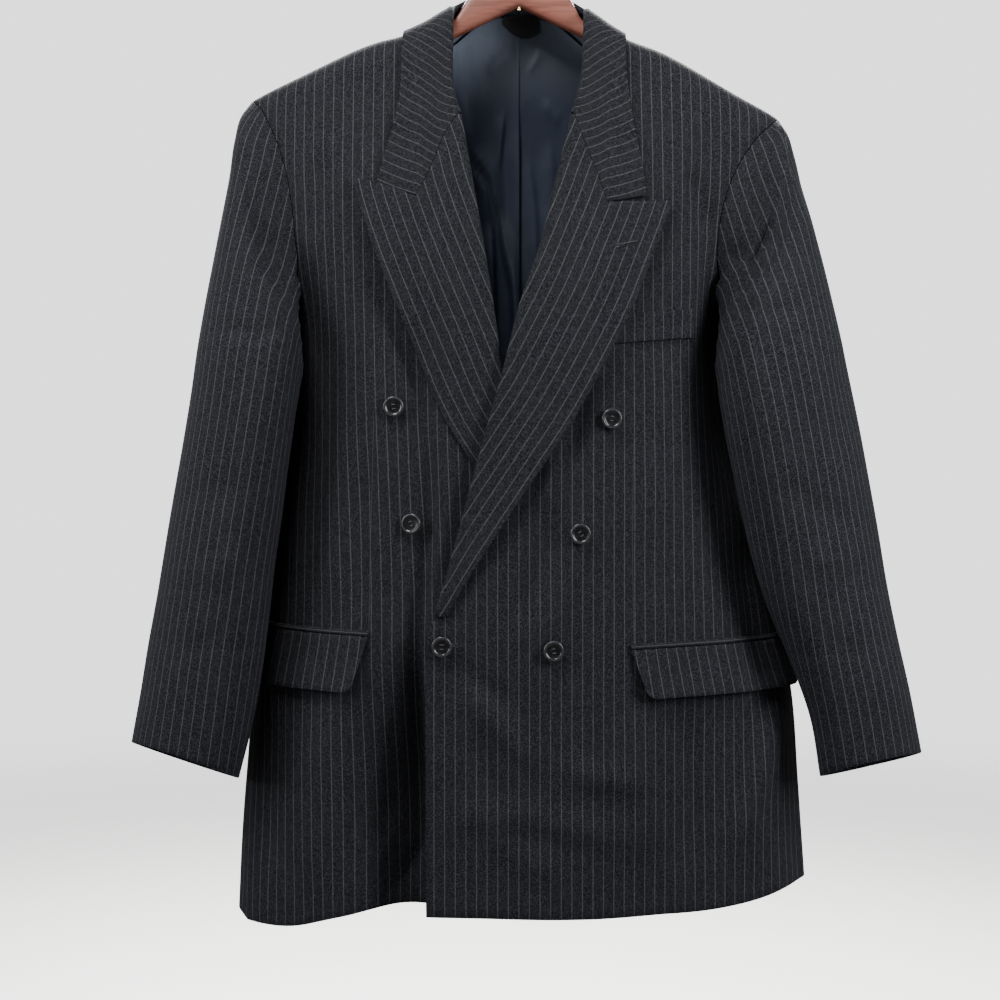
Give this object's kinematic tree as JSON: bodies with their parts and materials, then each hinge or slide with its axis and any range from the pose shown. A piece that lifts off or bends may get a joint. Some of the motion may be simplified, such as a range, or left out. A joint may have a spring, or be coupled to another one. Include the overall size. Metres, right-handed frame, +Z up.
{
  "type": "double breasted blazer on a wooden hanger",
  "caption": "Tailored double breasted jacket in pinstriped wool with peak lapels and flap pockets, closed low, hanging on a wooden hanger by its steel hook.",
  "frame": {"origin": "underside of the hook's top, where a rail carries it", "axes": "+Z up; the front of the jacket faces -Y; +X is the wearer's left"},
  "size_m": [0.753, 0.1655, 0.9869],
  "materials": {
    "suiting": "charcoal worsted wool with thin light grey pinstripes",
    "lining": "slate navy satin lining",
    "label": "plain black woven label, left blank",
    "horn": "polished black",
    "wood": "satin reddish brown lacquer",
    "steel": "polished wire",
    "brass": "polished"
  },
  "bodies": {
    "root": {"front_left": "suiting", "side_left": "suiting", "back_left": "suiting", "lapel_left": "suiting", "topsleeve_left": "suiting", "undersleeve_left": "suiting", "jet_left": "suiting", "flap_left": "suiting", "front_right": "suiting", "side_right": "suiting", "back_right": "suiting", "lapel_right": "suiting", "topsleeve_right": "suiting", "undersleeve_right": "suiting", "jet_right": "suiting", "flap_right": "suiting", "collar": "suiting", "welt_left": "suiting", "button_1": "horn", "button_2": "horn", "button_3": "horn", "button_4": "horn", "button_5": "horn", "button_6": "horn", "lining_back": "lining", "neck_label": "label", "hanger_wood": "wood", "hanger_hook": "steel", "hanger_nut": "brass"}
  },
  "joints": []
}
